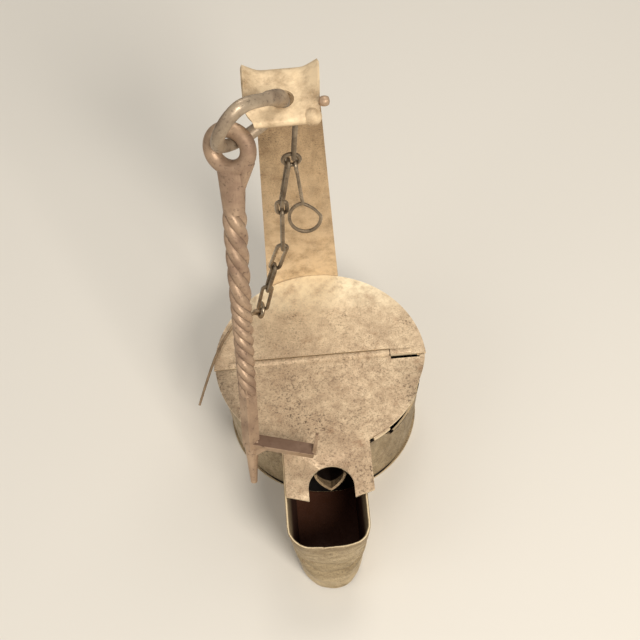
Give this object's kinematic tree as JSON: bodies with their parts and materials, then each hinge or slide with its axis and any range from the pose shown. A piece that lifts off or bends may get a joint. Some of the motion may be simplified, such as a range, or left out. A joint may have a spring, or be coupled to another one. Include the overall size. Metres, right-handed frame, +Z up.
{
  "type": "betty lamp",
  "caption": "Covered sheet-iron betty lamp with an open spout, hinged front cover, tall strap handle, twisted iron hanger with spike and hook, and a chain with a wick pick.",
  "frame": {"origin": "centre of the reservoir floor's underside, on the table", "axes": "+Z up, -Y along the spout, +Y to the handle"},
  "size_m": [0.0878, 0.1209, 0.1683],
  "materials": {
    "tinned_sheet": "worn tinned sheet iron with a tan patina",
    "forged_iron": "forged iron, brown patina",
    "wire": "dark oxidised iron wire",
    "solder": "dull solder"
  },
  "bodies": {
    "lamp": {"reservoir_floor": "tinned_sheet", "reservoir_wall": "tinned_sheet", "spout_floor": "tinned_sheet", "spout_wall": "tinned_sheet", "wick_support": "tinned_sheet", "rear_cover": "tinned_sheet", "hinge_wire": "wire", "rim_tab": "solder", "handle_strap": "tinned_sheet", "edge_rivet": "tinned_sheet", "chain_staple": "wire"},
    "lid": {"front_cover": "tinned_sheet"},
    "ring": {"hanger_ring": "forged_iron"},
    "hanger": {"hanger_rod": "forged_iron", "hook_arm": "forged_iron"},
    "chain_top": {"top_link": "wire"},
    "chain_ring": {"small_ring": "wire"},
    "loop": {"wire_loop": "wire"},
    "chain_upper": {"upper_long_link": "wire"},
    "chain_middle": {"middle_ring": "wire"},
    "chain_lower": {"lower_long_link": "wire"},
    "chain_one": {"link_one": "wire"},
    "chain_two": {"link_two": "wire"},
    "chain_three": {"link_three": "wire"},
    "chain_end": {"end_ring": "wire"},
    "pick": {"wick_pick": "wire"}
  },
  "joints": [
    {"name": "lid_hinge", "type": "hinge", "parent": "lamp", "child": "lid", "pos_m": [0, 0.0024, 0.03585], "axis": [-1, 0, 0], "range_deg": [0, 4]},
    {"name": "ring_swivel", "type": "hinge", "parent": "lamp", "child": "ring", "pos_m": [-0.0056, 0.0266, 0.155], "axis": [0, 0, 1], "range_deg": [-40, 0]},
    {"name": "hanger_swing", "type": "hinge", "parent": "ring", "child": "hanger", "pos_m": [-0.02359, 0.01917, 0.14409], "axis": [0.4103, 0.784, -0.4659], "range_deg": [0, 110]},
    {"name": "chain_swing", "type": "hinge", "parent": "lamp", "child": "chain_top", "pos_m": [-0.0021, 0.0214, 0.1523], "axis": [-1, 0, 0], "range_deg": [0, 10]},
    {"name": "chain_ring_swing", "type": "hinge", "parent": "chain_top", "child": "chain_ring", "pos_m": [-0.00361, 0.019, 0.1381], "axis": [1, 0, 0], "range_deg": [0, 8]},
    {"name": "loop_swing", "type": "hinge", "parent": "chain_ring", "child": "loop", "pos_m": [-0.00319, 0.019, 0.13496], "axis": [-1, 0, 0], "range_deg": [0, 15]},
    {"name": "chain_upper_swing", "type": "hinge", "parent": "chain_ring", "child": "chain_upper", "pos_m": [-0.00547, 0.019, 0.13486], "axis": [1, 0, 0], "range_deg": [0, 6]},
    {"name": "chain_middle_swing", "type": "hinge", "parent": "chain_upper", "child": "chain_middle", "pos_m": [-0.0089, 0.0189, 0.114], "axis": [1, 0, 0], "range_deg": [0, 10]},
    {"name": "chain_lower_swing", "type": "hinge", "parent": "chain_middle", "child": "chain_lower", "pos_m": [-0.009, 0.0189, 0.109], "axis": [-1, 0, 0], "range_deg": [0, 10]},
    {"name": "chain_one_swing", "type": "hinge", "parent": "chain_lower", "child": "chain_one", "pos_m": [-0.01, 0.019, 0.0885], "axis": [1, 0, 0], "range_deg": [0, 10]},
    {"name": "chain_two_swing", "type": "hinge", "parent": "chain_one", "child": "chain_two", "pos_m": [-0.0137, 0.0196, 0.075], "axis": [-1, 0, 0], "range_deg": [0, 10]},
    {"name": "chain_three_swing", "type": "hinge", "parent": "chain_two", "child": "chain_three", "pos_m": [-0.0172, 0.0206, 0.0604], "axis": [-1, 0, 0], "range_deg": [0, 10]},
    {"name": "chain_end_swing", "type": "hinge", "parent": "chain_three", "child": "chain_end", "pos_m": [-0.0202, 0.022, 0.0443], "axis": [-1, 0, 0], "range_deg": [0, 10]},
    {"name": "pick_lift", "type": "hinge", "parent": "chain_end", "child": "pick", "pos_m": [-0.02185, 0.02303, 0.04016], "axis": [-0.8, 0.6, 0], "range_deg": [0, 25]}
  ]
}
